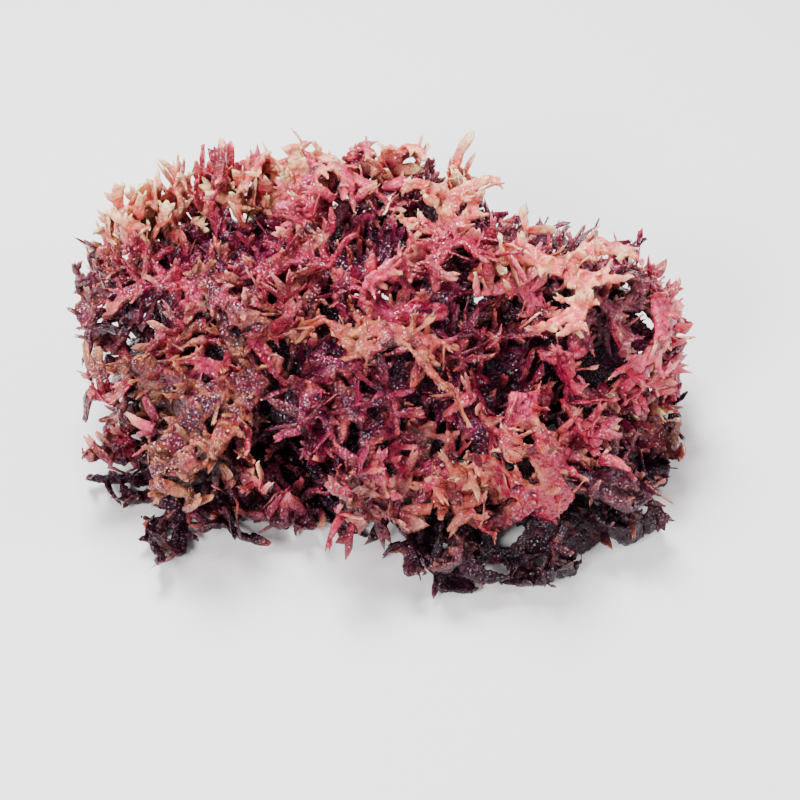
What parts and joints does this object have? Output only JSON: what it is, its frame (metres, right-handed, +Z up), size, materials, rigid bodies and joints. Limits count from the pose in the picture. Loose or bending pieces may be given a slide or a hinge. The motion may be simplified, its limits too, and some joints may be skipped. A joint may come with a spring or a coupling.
{
  "type": "seaweed clump",
  "caption": "Low domed clump of red coral seaweed: tangled flattened fronds with forks, toothed edges and upturned tips on matted webs, resting on its underside",
  "frame": {"origin": "on the resting surface, under the middle of the clump's bounding box", "axes": "+X to the clump's right along its longest extent, +Y to its back (away from the picture's camera), +Z up"},
  "size_m": [0.1506, 0.1064, 0.0598],
  "materials": {
    "crimson": "wet, glossy dark red seaweed flesh",
    "mauve": "wet dusky brownish pink seaweed flesh",
    "peach": "wet, slightly translucent pale orange seaweed flesh",
    "plum": "wet, glossy dark purple seaweed flesh",
    "rose": "wet, glossy pinkish red seaweed flesh",
    "tan": "moist brownish orange seaweed flesh"
  },
  "bodies": {
    "root": {"antler": "peach", "crest_left": "peach", "crest_left_inner": "rose", "crest_left_outer": "peach", "crest_middle": "rose", "crest_middle_left": "peach", "crest_middle_right": "peach", "crest_right": "peach", "fan_front_inner": "tan", "fan_front_left": "tan", "frond_back_right": "mauve", "frond_centre_flap": "rose", "frond_centre_front": "crimson", "frond_centre_hook": "tan", "frond_centre_left": "crimson", "frond_front_bar": "crimson", "frond_front_right": "rose", "frond_front_star": "peach", "frond_left_shoulder": "crimson", "frond_left_side": "mauve", "frond_left_spur": "rose", "frond_left_top": "crimson", "frond_left_top_prongs": "crimson", "frond_low_back_left": "plum", "frond_low_back_right": "plum", "frond_low_left_front": "plum", "frond_low_left_inner": "rose", "frond_low_left_outer": "plum", "frond_low_left_side": "mauve", "frond_low_middle": "plum", "frond_low_right_front": "mauve", "frond_low_right_inner": "mauve", "frond_low_right_outer": "mauve", "frond_low_right_tail": "peach", "frond_right_arm": "crimson", "frond_right_cluster": "rose", "frond_right_cross": "rose", "frond_right_edge": "rose", "frond_right_strand": "crimson", "frond_rim_01": "crimson", "frond_rim_02": "mauve", "frond_rim_03": "plum", "frond_rim_04": "crimson", "frond_rim_05": "rose", "frond_rim_06": "plum", "frond_rim_07": "crimson", "frond_salmon": "peach", "frond_top_01": "plum", "frond_top_02": "crimson", "frond_top_03": "plum", "frond_top_04": "mauve", "frond_top_05": "crimson", "frond_top_06": "plum", "frond_top_07": "crimson", "frond_top_08": "plum", "frond_top_09": "mauve", "web_lower_back": "plum", "web_lower_left": "plum", "web_lower_right": "mauve", "web_upper": "plum"}
  },
  "joints": []
}
